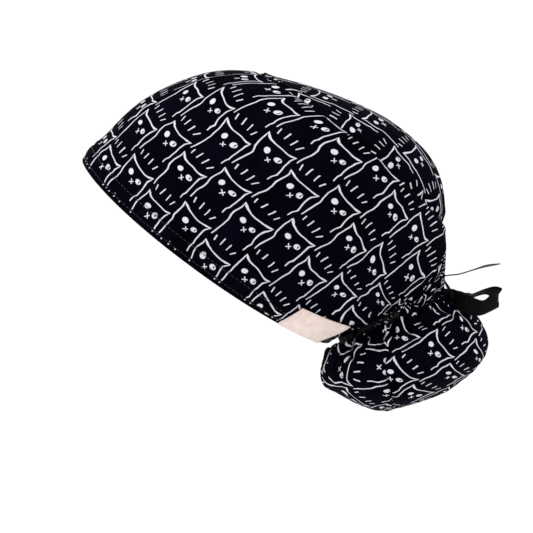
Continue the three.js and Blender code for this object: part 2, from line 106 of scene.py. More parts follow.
CLOTH = 0.9  # one layer of cotton, drawn thicker than its real 0.3 mm
RIBBON_HALF_WIDTH = 5.5
WRAP_GATHERS = {"pitches": (5.6, 12.5), "reaches": (10, 30), "depth": 2.6, "shift": 0.3}
POUCH_GATHERS = {"pitches": (5.2, 11), "reaches": (8, 22), "depth": 2.4}
PAINTED_SHADE_DEPTH = 2.2  # valley depth at which the painted shade in the folds is full

# ribbon rows: middle of the tape x, y, z, then the direction of its width, then its half width
LOOP_LEFT = np.array(
    [
        (2, 113.6, -132.6, 0, 0.3, 0.95, 4.6),
        (2.6, 119.0, -133.8, 0, 0.3, 0.95, 5.2),
        (6.3, 123.4, -134.8, 0, 0.3, 0.95, 5.3),
        (10.5, 129, -137.6, 0, 0.3, 0.95, 5.5),
        (13.5, 136, -139.8, 0.1, 0.2, 0.98, 5),
        (14.5, 141.8, -138.8, 0.1, 0.1, 0.98, 4),
        (13.4, 146.8, -135.4, 0.05, 0, 0.99, 4.9),
        (10.6, 148.4, -133.4, 0, 0, 1, 5.2),
        (8.2, 146, -130.6, -0.6, 0, 0.7, 4.6),
        (6.8, 140.5, -130.4, -0.93, 0, 0.3, 5),
        (6, 132, -133.2, -0.96, 0.05, 0.24, 5.2),
        (5, 126.2, -133.6, -0.9, 0.05, 0.4, 4.4),
        (2, 121, -133.4, -0.8, 0.05, 0.5, 3.4),
    ]
)
LOOP_RIGHT = np.array(
    [
        (-2, 121.2, -133.4, 0, 0.3, 0.95, 3.4),
        (-6.3, 123.6, -134.2, 0, 0.3, 0.95, 4.7),
        (-14, 127, -135.8, 0, 0.3, 0.95, 5.5),
        (-22, 128.4, -137.4, -0.1, 0.3, 0.95, 5.5),
        (-30, 129.6, -138.6, -0.1, 0.2, 0.97, 5.5),
        (-34.5, 132.2, -138.6, 0, 0.2, 0.97, 5.5),
        (-30, 134.4, -138.2, 0.1, 0.2, 0.96, 5.5),
        (-22, 133.2, -137.4, 0.1, 0.2, 0.96, 5.5),
        (-14, 131, -136.4, 0.1, 0.2, 0.96, 5.5),
        (-7, 127.4, -135.2, 0.1, 0.2, 0.96, 4.6),
        (-2, 122.6, -133.8, 0.1, 0.2, 0.96, 3.4),
    ]
)
TAIL_LEFT = np.array(
    [
        (-3, 120.4, -130.4, 0.95, 0, 0.1, 3.4),
        (-6.4, 118.6, -127, 0.95, 0, 0.1, 4.8),
        (-8, 116.9, -123.4, 0.97, 0, 0.1, 5.4),
        (-7.6, 117.6, -120.9, 0.99, 0, 0.05, 5.5),
        (-6, 126, -119.7, 0.99, 0, 0.05, 5.5),
        (-4, 135, -117, 0.99, 0, 0.06, 5.5),
        (-2, 142.4, -114.8, 0.98, 0, 0.12, 5.5),
        (0, 149.4, -113.6, 0.99, 0, 0.05, 5.5),
    ]
)
TAIL_RIGHT = np.array(
    [
        (-3.5, 125.6, -137.6, 0.9, 0.3, 0.3, 3.4),
        (-8, 129.6, -142.2, 0.9, 0.3, 0.2, 5),
        (-13, 134, -145.8, 0.9, 0.4, 0.1, 5.5),
        (-20, 136.6, -150.4, 0.85, 0.4, 0.1, 5.5),
        (-28, 136.8, -155.8, 0.8, 0.4, 0.1, 5.5),
    ]
)
KNOT_MIDDLE = np.array((0.0, 121.4, -133.6))

# ---------------------------------------------------------------- small helpers


def smooth(x, low, high):
    """Eases from 0 at low to 1 at high: 3 t squared less 2 t cubed."""
    t = np.clip((x - low) / (high - low), 0, 1)
    return t * t * (3 - 2 * t)


def bell(x, width):
    """1 at 0, falling off smoothly on both sides: e to the power of less the square of x over the width."""
    return np.exp(-((x / width) ** 2))


def read(table, column, key):
    """A column of a table at any key, on the cubic curve through its rows whose slope at a row is half the
    step between the rows on either side."""
    values = table[:, column]
    last = len(values) - 1
    place = np.clip(np.interp(key, table[:, 0], np.arange(last + 1)), 0, last)
    row = np.minimum(np.floor(place).astype(int), last - 1)
    t = place - row
    before, here, after, beyond = (values[np.clip(row + step, 0, last)] for step in (-1, 0, 1, 2))
    slope_in, slope_out, rise = (after - before) / 2, (beyond - here) / 2, after - here
    square, cube = 3 * rise - 2 * slope_in - slope_out, slope_in + slope_out - 2 * rise
    return here + slope_in * t + square * t**2 + cube * t**3


def signed_power(x, power):
    """A power of the size of x that keeps its sign."""
    return np.sign(x) * np.abs(x) ** power


def stack(x, y, z):
    return np.stack(np.broadcast_arrays(x, y, z), -1)


def unit(v):
    return v / np.maximum(np.linalg.norm(v, axis=-1, keepdims=True), 1e-9)


def drift(a, b, lengths, seed):
    """Unevenness between about -1 and 1: the mean of slow sine waves of the given lengths, each in its own
    direction and phase."""
    rng = np.random.default_rng(seed)
    total = 0.0
    for length in lengths:
        way, phase = rng.uniform(0, 2 * math.pi, 2)
        total = total + np.sin(2 * math.pi * (a * math.cos(way) + b * math.sin(way)) / length + phase)
    return total / len(lengths)


def pleats(x, sharpness=0.7):
    """Round ridges parted by sharp valleys, one for each unit of x: the sine's size to a power, less its mean."""
    return np.abs(np.sin(math.pi * x)) ** sharpness - 0.7


def gathers(walked, away, wander, pitches, reaches, depth, shift=0.0):
    """Gathers at a drawn-in edge: close short pleats beside it, and wider ones that reach further from it."""
    short = pleats(walked / pitches[0] + wander) * np.exp(-away / reaches[0]) * depth
    long = pleats(walked / pitches[1] + wander + shift, 0.9) * np.exp(-((away / reaches[1]) ** 1.4)) * depth
    return short, long


def seam_roll(distance):
    """How cloth lies beside a seam: it dips into the seam and stands over the allowance beneath it."""
    return 0.4 * bell(distance - 3.4, 1.8) - 1.0 * bell(distance, 1.2)


def surface_normals(grid, ring):
    """Outward normals of a grid: its way along crossed with its way up."""
    if ring:
        along = np.roll(grid, -1, 0) - np.roll(grid, 1, 0)
    else:
        along = np.gradient(grid, axis=0)
    return unit(np.cross(along, np.gradient(grid, axis=1)))


def arc_along(grid, axis):
    """Distance walked along an axis of a grid from its first row."""
    steps = np.linalg.norm(np.diff(grid, axis=axis), axis=-1)
    first = np.zeros_like(np.take(steps, [0], axis))
    return np.concatenate([first, np.cumsum(steps, axis)], axis)


def worn(points):
    """From the cap's frame in millimetres to the worn frame in metres: a turn about X by the hem's tilt."""
    x, y, z = points[..., 0], points[..., 1], points[..., 2]
    cos, sin = math.cos(HEM_TILT), math.sin(HEM_TILT)
    return MM * stack(x, y * cos + z * sin, -y * sin + z * cos)


def from_neck(points):
    """From the neck's frame to the cap's: a turn about X by the neck's tilt, then a move."""
    x, y, z = points[..., 0], points[..., 1], points[..., 2]
    cos, sin = math.cos(NECK_TILT), math.sin(NECK_TILT)
    return stack(x, NECK_Y + y * cos - z * sin, NECK_Z + y * sin + z * cos)


# ---------------------------------------------------------------- meshes

SURFACE = "cut"  # name of the UV map that holds places on the flat cloth, in millimetres


def finish_piece(obj, materials, replaces=(), slot="printed_cotton"):
    """Gives a piece its materials and its body, and hides the solids that it stands for. Its slot is not used."""
    for material in materials:
        obj.data.materials.append(material)
    obj.data.shade_smooth()
    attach(obj, "root")
    if replaces:
        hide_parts(*replaces)
    return obj


def mesh_object(name, points, faces, uv=None):
    """An object from points in metres, the corner numbers of its faces and their corners' places on the cloth."""
    mesh = bpy.data.meshes.new(name)
    mesh.from_pydata(points.reshape(-1, 3).tolist(), [], faces)
    if uv is not None:
        mesh.uv_layers.new(name=SURFACE).data.foreach_set("uv", uv.astype(np.float32).ravel())
    mesh.update()
    obj = bpy.data.objects.new(name, mesh)
    bpy.context.scene.collection.objects.link(obj)
    return obj


def hold(obj, name, values):
    """Keeps a number for each vertex under a name that materials can read."""
    kept = obj.data.attributes.new(name, "FLOAT", "POINT")
    kept.data.foreach_set("value", np.ascontiguousarray(values, np.float32).ravel())


def grid_faces(columns, rows, ring=False, tube=False):
    """Corner numbers of a grid's quads, turning anticlockwise seen from outside."""
    i, j = np.meshgrid(np.arange(columns - (not ring)), np.arange(rows - (not tube)), indexing="ij")
    i2, j2 = (i + 1) % columns, (j + 1) % rows
    return np.stack([i * rows + j, i2 * rows + j, i2 * rows + j2, i * rows + j2], -1).reshape(-1, 4)


def grid_uv(cut):
    """The places on the cloth of each quad's corners, in the order of grid_faces."""
    return np.stack([cut[:-1, :-1], cut[1:, :-1], cut[1:, 1:], cut[:-1, 1:]], -2).reshape(-1, 2)


def give_wall(obj, thickness=CLOTH, wrong_side=1):
    """Thickens a sheet inwards. Its inner face takes the material that many places further on."""
    wall = obj.modifiers.new("wall", "SOLIDIFY")
    wall.thickness, wall.offset, wall.use_quality_normals = thickness * MM, -1, True
    wall.material_offset = wrong_side


def cloth(name, points, cut, materials, thickness=CLOTH, **kept):
    """A sheet of cloth: a grid of points in metres with its places on the flat cloth, given its thickness. A
    second material shows on its inner face."""
    obj = mesh_object(name, points, grid_faces(*points.shape[:2]).tolist(), grid_uv(cut))
    give_wall(obj, thickness, len(materials) - 1)
    return finish_piece(obj, materials, **kept)


# ---------------------------------------------------------------- surfaces of the cap


def hem_outward(angle):
    """Level direction out of the cap at an angle round the hem, 0 at the forehead and 90 on the left."""
    angle = np.radians(angle)
    return unit(stack(np.sin(angle) / HEM_HALF_WIDTH, -np.cos(angle) / ((HEM_BACK - HEM_FRONT) / 2), 0))


def hem_lean(angle):
    """How far the casing leans out at an angle, alike on both sides."""
    return np.radians(read(CASING_LEAN, 1, np.abs(angle - 360 * np.round(angle / 360))))


def casing_point(angle, height, depth=0.0):
    """The hem: a full oval that dips towards the ears, then up the casing's lean by height and square into
    the casing by depth."""
    turn, power = np.radians(angle), 2 / HEM_FULLNESS
    edge = stack(
        HEM_HALF_WIDTH * signed_power(np.sin(turn), power),
        (HEM_BACK + HEM_FRONT) / 2 - (HEM_BACK - HEM_FRONT) / 2 * signed_power(np.cos(turn), power),
        HEM_LEVEL - HEM_SAG * np.abs(np.sin(turn)) ** SAG_POWER,
    )
    lean, out, up = hem_lean(angle), hem_outward(angle), np.array((0, 0, 1.0))
    sideways = height * np.sin(lean) - depth * np.cos(lean)
    upwards = height * np.cos(lean) + depth * np.sin(lean)
    return edge + out * np.asarray(sideways)[..., None] + up * np.asarray(upwards)[..., None]


def neck_point(angle, down, inset=0.0):
    """The neck's oval, squarish at the nape end, moved out of the cap by down and drawn in by inset."""
    turn = np.radians(angle)
    across = np.where(np.cos(turn) > 0, signed_power(np.sin(turn), NECK_SQUARENESS), np.sin(turn))
    return from_neck(
        stack((NECK_HALF_WIDTH - inset) * across, -(NECK_HALF_LENGTH - inset) * np.cos(turn), -np.asarray(down))
    )


def crown_seam(angle):
    """The crown seam: an oval in a pitched plane, arched at its sides."""
    turn = np.radians(angle)
    return stack(
        CROWN_HALF_WIDTH * np.sin(turn),
        (CROWN_BACK + CROWN_FRONT) / 2 - (CROWN_BACK - CROWN_FRONT) / 2 * np.cos(turn),
        CROWN_LEVEL + CROWN_PITCH * np.cos(turn) + CROWN_ARCH * np.sin(turn) ** 2,
    )


def wrap_lower_edge(share):
    """Along the top of the casing, then across to the neck of the pouch and round it."""
    on_hem = casing_point(np.minimum(share / HEM_SHARE, 1) * LAST_HEM_ANGLE, CASING_HEIGHT + SEAM_GAP / 2)
    beyond = np.clip((share - HEM_SHARE) / (1 - HEM_SHARE), 0, 1)
    on_neck = neck_point(FIRST_NECK_ANGLE + beyond * (180 - FIRST_NECK_ANGLE), -WRAP_EDGE_AT_NECK)
    turn = smooth(beyond, 0, 0.12)[..., None]
    return on_hem + (on_neck - on_hem) * turn


def wrap_panel_surface(share, v):
    """The left half of the wrap panel: straight ribs from the lower edge to the crown seam, pushed level out by
    a bulge times 1 - |2s - 1| to the power of the fullness, s being v to the power of the skew."""
    low = wrap_lower_edge(share)
    high = crown_seam(180 * (1 - (1 - share) ** CROWN_MATCH))
    rise = v ** read(WRAP_RIBS, SKEW, share)
    profile = 1 - np.abs(2 * rise - 1) ** read(WRAP_RIBS, FULLNESS, share)
    out = (low + high) / 2 - np.array((0, WRAP_AXIS_Y, 0))
    out[..., 2] = 0
    push = read(WRAP_RIBS, BULGE, share) * profile
    return low + (high - low) * v[..., None] + unit(out) * push[..., None]


# Where the print lies on the wrap panel. Its columns lean back from the hem, and its rows keep level with it.
PRINT_LEAN, PRINT_RISE, PRINT_STRETCH = 0.295, 0.959, 1.023
PRINT_START, CROWN_PRINT = (18.5, -9.1), (-3.4, 15.4)
# place round the cap and the print's place there, then how far its rows have climbed
PRINT_ROUND = ((0, 85, 180, 300), (0, 79, 178.2, 313.5))
PRINT_CLIMB = ((0, 20, 39, 63, 90, 112, 180, 300), (-12, -11.5, -10, -4, -1.7, 0, 5.1, 14.1))
ARC_AXES = {"middle": 41.9, "front": 92.1, "back": 108.0, "half_width": 76.0}


def arc_round(w):
    """Distance round the cap from the forehead for a place w along its side: the arc length of an oval whose
    back half is longer than its front half."""
    turn = np.linspace(0, math.pi, 721)
    long = np.where(turn < math.pi / 2, ARC_AXES["front"], ARC_AXES["back"])
    x, y = ARC_AXES["half_width"] * np.sin(turn), -long * np.cos(turn)
    arc = np.concatenate([[0], np.cumsum(np.hypot(np.diff(x), np.diff(y)))])
    return np.interp(w - ARC_AXES["middle"], y, arc)


def wrap_cut(points, share, edge_rise):
    """Places on the flat cloth: up is the length of the rib above the hem's level. Round is the arc from the
    forehead near the front, and further back the arc at the place where a leaning column meets the hem."""
    up = edge_rise + arc_along(points, 1)
    arc = arc_along(points, 0)
    leaning = arc_round(points[..., 1] - PRINT_LEAN * (points[..., 2] - HEM_LEVEL))
    join = np.argmin(np.abs(share[:, 0] - 0.2))
    offset = (arc - leaning)[join][None, :]
    further = leaning + offset * (1 - smooth(share, 0.2, 0.55))
    nearby = smooth(share, 0.1, 0.26)
    return (1 - nearby) * arc + nearby * further, up


def on_print(round_cap, up):
    """From a place round and up the cap to a place on the printed cloth, which is eased to fit: drawn in round
    the forehead, let out at the back, and turned so that its rows climb towards the nape."""
    u = np.abs(round_cap)
    leant = 20 * smooth(up, 50, 110) * bell(u - 77, 60) * smooth(u, 0, 40)
    across = (np.interp(u, *PRINT_ROUND) + leant) * np.sign(round_cap)
    fan = 0.45 * np.maximum(u - 185, 0) * smooth(up, 30, 60)
    eased = 3.5 * np.sin(math.pi * np.clip(up / 110, 0, 1)) * smooth(u, 160, 100)
    climbed = PRINT_STRETCH * (up + np.interp(u, *PRINT_CLIMB) + fan + eased)
    return np.stack([across + PRINT_START[0], climbed + PRINT_START[1]], -1)


def edge_rise_of(share):
    """Height of the print at the wrap panel's lower edge: the hem's own dip, then the climb round the neck."""
    angle = np.minimum(share / HEM_SHARE, 1) * LAST_HEM_ANGLE
    dip = (casing_point(angle, 0.0)[..., 2] - HEM_LEVEL) / PRINT_RISE
    climb = wrap_lower_edge(share)[..., 2] - wrap_lower_edge(np.minimum(share, HEM_SHARE))[..., 2]
    return dip + CASING_HEIGHT + climb / PRINT_RISE


def make_wrap_panel(materials):
    """The wrap panel, both halves and the soft folds, gathers and seam rolls that its base surface lacks."""
    half, rows = 240, 84
    share = np.linspace(0, 1, half + 1) ** 0.94
    v = np.linspace(0, 1, rows) ** 1.08
    share, v = np.meshgrid(share, v, indexing="ij")
    base = wrap_panel_surface(share, v)
    round_cap, up = wrap_cut(base, share, edge_rise_of(share[:, :1]))
    rib = arc_along(base, 1)
    from_foot, from_crown = rib, rib[:, -1:] - rib
    foot = arc_along(base[:, :1], 0)
    behind = smooth(share, HEM_SHARE - 0.05, HEM_SHARE + 0.05)
    near_gather = smooth(share, 0.5, 0.74)
    normal = surface_normals(base, False)
    normal[0, :, 0] = normal[-1, :, 0] = 0
    centre_of_gathers = np.argmin(np.abs(share[:, 0] - 0.86))
    down = from_neck(np.array((0, 0, -1.0))) - from_neck(np.zeros(3))
    halves, painted_shade_halves = [], []
    for side, seed in ((1, 3), (-1, 11)):
        wander = 0.45 * drift(foot, from_foot, (31, 47, 23), seed)
        short, long = gathers(foot, from_foot, wander, **WRAP_GATHERS)
        folds = (short * behind + long * near_gather) * smooth(from_crown, 2, 22)
        pucker = 0.16 * np.sin(2 * math.pi * round_cap / 8.3 + 2 * drift(foot, rib, (60, 41), seed + 1))
        pucker = pucker * (np.exp(-from_crown / 5) + 0.7 * np.exp(-from_foot / 4))
        crease = 0.7 * bell(round_cap - 27, 2.6) * smooth(from_foot, -10, 30)
        slack = 0.55 * drift(round_cap, rib, (75, 58, 91, 44), seed + 2)
        slack = slack * smooth(rib, 0, 20) * smooth(from_crown, 0, 16)
        back_seam = seam_roll(np.abs(base[..., 0])) * smooth(share, 0.93, 0.97)
        roll = seam_roll(from_crown) + 0.8 * seam_roll(from_foot)
        folded = base + normal * folds[..., None]
        taken_in = arc_along(folded, 0) - arc_along(base, 0)
        gathered = np.exp(-((from_foot / 30) ** 1.6)) * smooth(share, 0.58, 0.76)
        bunched = 0.55 * (foot - foot[centre_of_gathers])
        bunched = bunched + 8 * drift(foot, from_foot, (23, 31, 17), seed + 4)
        dropped = 6 * drift(foot, from_foot, (21, 29, 25), seed + 5)
        shape = folded + normal * (pucker + crease + slack + roll + back_seam)[..., None]
        tuck = 3.1 * bell(from_foot, 4.5) * smooth(share, HEM_SHARE + 0.02, HEM_SHARE + 0.1)
        shape = shape + down * tuck[..., None]
        shape[0, :, 0] = shape[-1, :, 0] = 0
        # painted shade: how far down in a valley of the gathers each point lies, kept to darken its colour
        painted_shade_halves.append(np.clip(-folds / PAINTED_SHADE_DEPTH, 0, 1))
        places = on_print(side * (round_cap + 0.6 * taken_in + gathered * bunched), up + gathered * dropped)
        halves.append((shape * (side, 1, 1), places))
    (left, left_cut), (right, right_cut) = halves
    middle_front = (left[:1] + right[:1]) / 2
    middle_back = (left[-1:] + right[-1:]) / 2
    points = np.concatenate([middle_front, left[1:-1], middle_back, right[-2:0:-1]])
    # the cut is broken at the seam behind, so the faces either side of it take their own half's places
    faces = grid_faces(*points.shape[:2], True)
    cuts = np.concatenate([grid_uv(left_cut), grid_uv(right_cut[::-1])])
    obj = mesh_object("wrap_panel_cloth", worn(points), faces.tolist(), cuts)
    give_wall(obj)
    # keeps the painted shade of both halves for the material
    hold(obj, "painted_fold_shade", np.concatenate([painted_shade_halves[0], painted_shade_halves[1][-2:0:-1]]))
    finish_piece(obj, materials, ["wrap_panel"])
    return {"share": share[:, 0], "round": round_cap[:, 0]}


def crown_point(radius, angle):
    """The crown: from the pole out to the seam, falling by the radius to a power that grows towards the front."""
    seam = crown_seam(angle)
    inner = np.maximum(radius * (1 - SEAM_GAP / 2 / CROWN_HALF_WIDTH), 1e-6)
    power = CROWN_ROUNDNESS * np.exp(-CROWN_SKEW * np.cos(np.radians(angle)))
    height = CROWN_TOP - (CROWN_TOP - seam[..., 2]) * inner**power
    return stack(inner * seam[..., 0], CROWN_POLE + inner * (seam[..., 1] - CROWN_POLE), height)


def make_crown(materials):
    """The crown panel. A square grid is laid on its oval by x = u times the root of 1 - v squared / 2, and the
    same for v, so it has no pole. Its cut lies flat as far from the pole as the cloth runs."""
    count = 150
    u, v = np.meshgrid(np.linspace(-1, 1, count), np.linspace(-1, 1, count), indexing="ij")
    x, y = u * np.sqrt(1 - v**2 / 2), v * np.sqrt(1 - u**2 / 2)
    radius = np.hypot(x, y)
    angle = np.degrees(np.arctan2(x, -y))
    base = crown_point(radius, angle)
    normal = surface_normals(base, False)
    spokes = crown_point(radius[..., None] * np.linspace(0, 1, 24), angle[..., None])
    run = arc_along(spokes, 2)[..., -1]
    way = unit(base[..., :2] - (0, CROWN_POLE))
    from_seam = (1 - radius) * CROWN_HALF_WIDTH
    around = np.radians(angle) * 66
    pucker = 0.16 * np.sin(2 * math.pi * around / 8.7 + 2 * np.sin(around / 21)) * np.exp(-from_seam / 5)
    slack = 0.4 * drift(base[..., 0], base[..., 1], (62, 85, 47), 21) * smooth(from_seam, 0, 18)
    tip = pleats(base[..., 0] / 7.5, 0.9) * 0.8 * np.exp(-np.hypot(base[..., 0], base[..., 1] - CROWN_BACK) / 16)
    shape = base + normal * (seam_roll(from_seam) + pucker + slack + tip)[..., None]
    cut = -way * run[..., None] + CROWN_PRINT
    cloth("crown_cloth", worn(shape), cut, materials, replaces=["crown_panel"])


def make_hem(materials, wrap):
    """The hem casing: a flat tube of folded cloth carried round the head opening. Its section swells between
    its two rows of stitching and is drawn in along each."""
    columns = 560
    angle = np.linspace(0, 360, columns + 1)
    outer = np.linspace(0.5, CASING_HEIGHT - 0.3, 15)
    swell = 0.45 * np.sin(math.pi * np.clip((outer - 3.2) / 7.2, 0, 1))
    swell = swell - 0.3 * bell(outer - 3.2, 0.7)
    swell = swell - 0.35 * bell(outer - 10.3, 0.7) + 0.15 * bell(outer - 1.6, 0.9)
    inner = outer[::-2]
    thick = CASING_THICKNESS
    height = np.concatenate([outer, [CASING_HEIGHT, CASING_HEIGHT], inner, [0.0, -0.25, 0.0]])
    depth = np.concatenate([-swell, [0.4, thick - 0.4], np.full(len(inner), thick), [thick - 0.4, thick / 2, 0.4]])
    angle_grid, height_grid = np.meshgrid(angle, height, indexing="ij")
    depth_grid = np.broadcast_to(depth, angle_grid.shape)
    edge = casing_point(angle, 0.0)
    walked = arc_along(edge[:, None], 0)
    pucker = 0.17 * np.sin(2 * math.pi * walked / 7.9 + 1.6 * np.sin(walked / 23)) * np.sin(
        math.pi * np.clip(height_grid / CASING_HEIGHT, 0, 1)
    )
    pucker = pucker * (depth_grid < thick / 2)
    points = casing_point(angle_grid, height_grid, depth_grid - pucker)[:-1]
    turned = np.where(angle > 180, angle - 360, angle)
    share = np.abs(turned) / LAST_HEM_ANGLE * HEM_SHARE
    round_cap = np.interp(share, wrap["share"], wrap["round"])
    last = np.searchsorted(angle, LAST_HEM_ANGLE)
    beyond = np.maximum(np.abs(turned) - LAST_HEM_ANGLE, 0) / (180 - LAST_HEM_ANGLE)
    at_last = np.interp(HEM_SHARE, wrap["share"], wrap["round"])
    tail = walked[np.searchsorted(angle, 180), 0] - walked[last, 0]
    round_cap = np.where(beyond > 0, at_last + beyond * tail, round_cap) * np.sign(turned + 1e-9)
    round_cap[-1] = -round_cap[0]
    dip = (edge[:, 2] - HEM_LEVEL) / PRINT_RISE
    cut = on_print(*np.broadcast_arrays(round_cap[:, None], dip[:, None] + height_grid))
    closed = np.concatenate([cut, cut[:, :1]], 1)
    faces = grid_faces(*points.shape[:2], True, True)
    obj = mesh_object("hem_cloth", worn(points), faces.tolist(), grid_uv(closed))
    hold(obj, "height", height_grid[:-1])
    hold(obj, "depth", depth_grid[:-1])
    finish_piece(obj, materials, ["hem_casing"])


def stitches(name, middles, along, out, material, length=2.1, thick=0.24, slot="printed_cotton"):
    """A row of stitches: short bars of thread with pinched ends, each along its seam and sunk at its ends."""
    across = unit(np.cross(out, along))
    reach = np.array([-0.5, -0.36, 0.0, 0.36, 0.5]) * length
    round_bar = np.array([0.25, 0.9, 1.0, 0.9, 0.25]) * thick
    lift = np.array([-0.12, 0.04, 0.1, 0.04, -0.12])
    turn = np.linspace(0, 2 * math.pi, 6, endpoint=False)
    shape = (middles[:, None, None], along[:, None, None], out[:, None, None], across[:, None, None])
    middle, forward, outward, sideways = shape
    r, s, h = reach[None, :, None, None], round_bar[None, :, None, None], lift[None, :, None, None]
    cos, sin = np.cos(turn)[None, None, :, None], np.sin(turn)[None, None, :, None]
    points = middle + forward * r + outward * (h + s * sin) + sideways * s * cos
    count, sections, sides = points.shape[:3]
    ring = grid_faces(sections, sides, False, True)
    ends = [list(range(sides))[::-1], list(range((sections - 1) * sides, sections * sides))]
    each = sections * sides
    faces = (ring[None] + each * np.arange(count)[:, None, None]).reshape(-1, 4).tolist()
    faces += [[corner + each * i for corner in end] for i in range(count) for end in ends]
    obj = mesh_object(name, worn(points), faces)
    return finish_piece(obj, [material], slot=slot)


def hem_stitches(material):
    """Two rows of machine stitching, 2.9 mm from stitch to stitch, on the outer face of the casing."""
    angle = np.linspace(0, 360, 4001)
    walked = arc_along(casing_point(angle, 5.0)[:, None], 0)[:, 0]
    count = int(walked[-1] / 2.9)
    at = np.interp(np.arange(count) * walked[-1] / count, walked, angle)
    for name, height, sunk in (("stitching_lower", 3.2, 0.12), ("stitching_upper", 10.3, 0.2)):
        middle = casing_point(at, height, sunk)
        along = unit(casing_point(at + 0.2, height, sunk) - casing_point(at - 0.2, height, sunk))
        out = unit(casing_point(at, height, -1.0) - casing_point(at, height, 0.0))
        stitches(name, middle, along, out, material)


# ---------------------------------------------------------------- the pouch


def pouch_point(angle, v):
    """The pouch in the neck's frame, v 0 at the neck and 1 at the pole: the side guide point, moved towards
    the mean of front and back by the cosine squared and from one to the other by the cosine."""
    place = (1 - v) * (len(POUCH_ROWS) - 1)
    cos, sin = np.cos(np.radians(angle)), np.sin(np.radians(angle))

    def blend(front, back, side):
        front, back, side = (read(POUCH_ROWS, column, place) for column in (front, back, side))
        return side + ((front + back) / 2 - side) * cos**2 + (front - back) / 2 * cos

    square = np.where(cos > 0, 1 - (1 - NECK_SQUARENESS) * smooth(1 - v, 0.8, 1), 1)
    return stack(
        read(POUCH_ROWS, HALF, place) * signed_power(sin, square),
        blend(FRONT_ALONG, BACK_ALONG, SIDE_ALONG),
        -blend(FRONT_DOWN, BACK_DOWN, SIDE_DOWN),
    )


def side_seam_angle(v):
    """The angle at which each row of the pouch crosses its side seam, found by halving."""
    low, high = np.full_like(v, 35.0), np.full_like(v, 150.0)
    for _ in range(40):
        middle = (low + high) / 2
        at = pouch_point(middle, v)
        behind = at[..., 1] > np.interp(-at[..., 2], POUCH_SEAM[:, 0], POUCH_SEAM[:, 1])
        low, high = np.where(behind, low, middle), np.where(behind, middle, high)
    return low


# which way the print lies on a gore: along and down for a step up the print, then for a step across it
GORE_PRINT = {"front": ((0.92, 0.40), (-0.15, 0.99)), "back": ((0.95, -0.30), (0.62, 0.785))}
# then how far the print is eased each way, and where it starts
GORE_PLACE = {"front": ((1.0, 1.0), (35.6, -6.9)), "back": ((0.9, 1.22), (0.0, -10.0))}


def make_gore(name, start, end, kind, columns, seed, materials, replaces):
    """One gore: the pouch between two seams, with gathers at the neck, slack folds and rolled seams."""
    rows = 96
    v = np.linspace(0, 0.985, rows) ** 0.95
    s = np.linspace(0, 1, columns)
    s, v = np.meshgrid(s, v, indexing="ij")
    seam = side_seam_angle(v)
    limits = {"left": seam, "right": 360 - seam, "right_front": -seam, "middle": np.full_like(seam, 180.0)}
    angle = limits[start] + s * (limits[end] - limits[start])
    base = pouch_point(angle, v)
    normal = -surface_normals(base, False)
    ring = arc_along(base, 0)
    width = ring[-1:]
    from_neck_edge = arc_along(base, 1)
    from_seam = np.minimum(ring, width - ring)
    wander = 0.5 * drift(ring, from_neck_edge, (27, 41, 19), seed)
    short, long = gathers(ring[:, :1], from_neck_edge, wander, **POUCH_GATHERS)
    slack = 0.8 * drift(ring, from_neck_edge, (34, 52, 27, 43), seed + 1) * smooth(from_neck_edge, 4, 22)
    slack = slack * smooth(v, 0.98, 0.85)
    pucker = 0.2 * np.sin(2 * math.pi * from_neck_edge / 7 + 2 * np.sin(from_neck_edge / 9))
    pucker = pucker * np.exp(-from_seam / 4)
    edge = seam_roll(from_seam) * smooth(width, 0, 12) + 0.8 * seam_roll(from_neck_edge)
    push = (short + long) * smooth(from_seam, 0, 5) + slack * smooth(from_seam, 0, 8) + pucker + edge
    shape = base + normal * push[..., None]
    shape[..., 2] += 3.4 * bell(from_neck_edge, 4.5)
    if kind == "front":
        along = ring - width / 2
    else:
        along = ring if start == "left" else width - ring
    (up_a, up_d), (side_a, side_d) = GORE_PRINT[kind]
    turned = side_a * up_d - side_d * up_a
    across = (along * up_d - from_neck_edge * up_a) / turned
    up = (side_a * from_neck_edge - side_d * along) / turned
    gathered = np.exp(-((from_neck_edge / 13) ** 1.5))
    across = across + gathered * 4 * drift(ring, from_neck_edge, (23, 31, 19), seed + 2)
    up = up + gathered * 4 * drift(ring, from_neck_edge, (21, 29, 25), seed + 3)
    scale, offset = GORE_PLACE[kind]
    cut = np.stack([across, up], -1) * scale + offset
    if start == "middle":
        cut = cut * (-1, 1)
    obj = cloth(name, worn(from_neck(shape))[::-1], cut[::-1], materials, replaces=replaces)
    # painted shade: how far down in a valley of the gathers each point lies, kept to darken its colour
    hold(obj, "painted_fold_shade", np.clip(-(short + long) / PAINTED_SHADE_DEPTH, 0, 1)[::-1])


def make_pouch(materials):
    """The three gores, which meet at the side seams and in the middle of the back."""
    make_gore("pouch_front_cloth", "right_front", "left", "front", 190, 31, materials, ["pouch_front"])
    make_gore("pouch_back_left_cloth", "left", "middle", "back", 130, 37, materials, ["pouch_back_left"])
    make_gore("pouch_back_right_cloth", "middle", "right", "back", 130, 43, materials, ["pouch_back_right"])


def allowance(name, spine, inwards, sideways, material):
    """A closed strip of the cloth's own edges, turned in behind a seam, so that no light passes through it.
    Its section is a flat lens carried along the spine, its edges bowed outwards to meet the cloth."""
    turn = np.linspace(0, 2 * math.pi, 18, endpoint=False)
    w, through = np.cos(turn)[None, :, None], np.sin(turn)[None, :, None]
    (inward, (deepest, bow)), (across, reach) = inwards, sideways
    depth = deepest - bow * w**2 + 0.45 * through * np.sqrt(np.maximum(1.02 - w**2, 0))
    points = spine[:, None] + inward[:, None] * depth + across[:, None] * (w * reach)
    walked = arc_along(spine[:, None], 0)
    cut = np.stack(np.broadcast_arrays(walked, (np.cos(turn) * reach)[None]), -1)
    cut = np.concatenate([cut, cut[:1] + (walked[-1, 0], 0)])
    cut = np.concatenate([cut, cut[:, :1]], 1)
    faces = grid_faces(*points.shape[:2], True, True)
    obj = mesh_object(name, worn(points), faces.tolist(), grid_uv(cut))
    return finish_piece(obj, [material])


